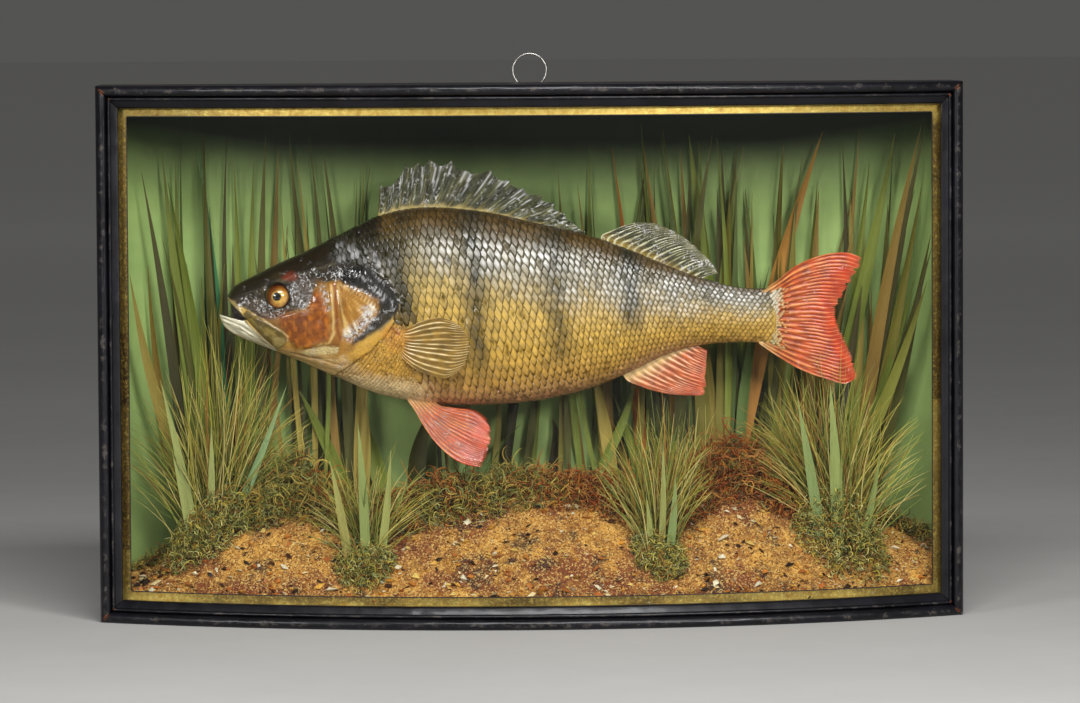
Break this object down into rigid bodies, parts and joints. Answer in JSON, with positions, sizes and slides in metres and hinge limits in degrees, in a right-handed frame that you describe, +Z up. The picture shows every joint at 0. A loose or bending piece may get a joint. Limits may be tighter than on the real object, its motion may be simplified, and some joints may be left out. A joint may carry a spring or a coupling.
{
  "type": "mounted perch in bow-front case",
  "caption": "Mounted perch, left side showing, in an ebonised bow-fronted glass case with a painted reed backdrop, dried plants, a sanded bank and a hanging ring.",
  "frame": {"origin": "on the table, under the middle of the whole case with its hanger", "axes": "+X along the case's width towards the fish's tail, -Y out of the bowed glass front, +Z up"},
  "size_m": [0.52, 0.1496, 0.3401],
  "materials": {
    "ebonised_wood": "black polish over stained wood, rubbed at the edges",
    "deal": "stained, unpolished softwood",
    "gilt": "old gilding, dulled and rubbed",
    "glass": "clear bowed window glass",
    "painted_card": "matt oil paint",
    "sanded_plaster": "sand and grit glued on plaster",
    "steel_wire": "dull tinned wire",
    "varnished_skin": "varnished fish skin over a cast body",
    "varnished_head": "varnished fish skin over a cast head",
    "red_fin": "painted and varnished fin",
    "grey_fin": "painted and varnished fin",
    "amber_fin": "varnished fin",
    "glass_eye": "hand-painted glass eye",
    "dried_reed": "dried and painted blades and moss"
  },
  "bodies": {
    "root": {"top_board": "ebonised_wood", "base_board": "ebonised_wood", "side_board_left": "ebonised_wood", "side_board_right": "ebonised_wood", "frame_top": "ebonised_wood", "frame_bottom": "ebonised_wood", "frame_stile_left": "ebonised_wood", "frame_stile_right": "ebonised_wood", "back_board": "deal", "mount_peg_front": "deal", "mount_peg_rear": "deal", "gilt_slip": "gilt", "glass_pane": "glass", "backdrop": "painted_card", "groundwork": "sanded_plaster", "hanger_ring": "steel_wire", "hanger_plate": "steel_wire", "hanger_tube": "steel_wire", "hanger_screw_upper": "steel_wire", "hanger_screw_lower": "steel_wire", "fish_trunk": "varnished_skin", "fish_tail_stalk": "varnished_skin", "fish_head": "varnished_head", "fish_lower_jaw": "varnished_head", "fish_gill_cover_left": "varnished_head", "fish_gill_cover_right": "varnished_head", "fish_caudal_fin": "red_fin", "fish_anal_fin": "red_fin", "fish_pelvic_fin_left": "red_fin", "fish_pelvic_fin_right": "red_fin", "fish_dorsal_fin_spiny": "grey_fin", "fish_dorsal_fin_soft": "grey_fin", "fish_pectoral_fin_left": "amber_fin", "fish_pectoral_fin_right": "amber_fin", "fish_eye_left": "glass_eye", "fish_eye_right": "glass_eye", "reed_01": "dried_reed", "reed_02": "dried_reed", "reed_03": "dried_reed", "reed_04": "dried_reed", "reed_05": "dried_reed", "reed_06": "dried_reed", "reed_07": "dried_reed", "reed_08": "dried_reed", "reed_09": "dried_reed", "reed_10": "dried_reed", "reed_11": "dried_reed", "reed_12": "dried_reed", "reed_13": "dried_reed", "reed_14": "dried_reed", "reed_15": "dried_reed", "reed_16": "dried_reed", "reed_17": "dried_reed", "clump_left": "dried_reed", "clump_mid_left": "dried_reed", "clump_mid_right": "dried_reed", "clump_right": "dried_reed"}
  },
  "joints": []
}
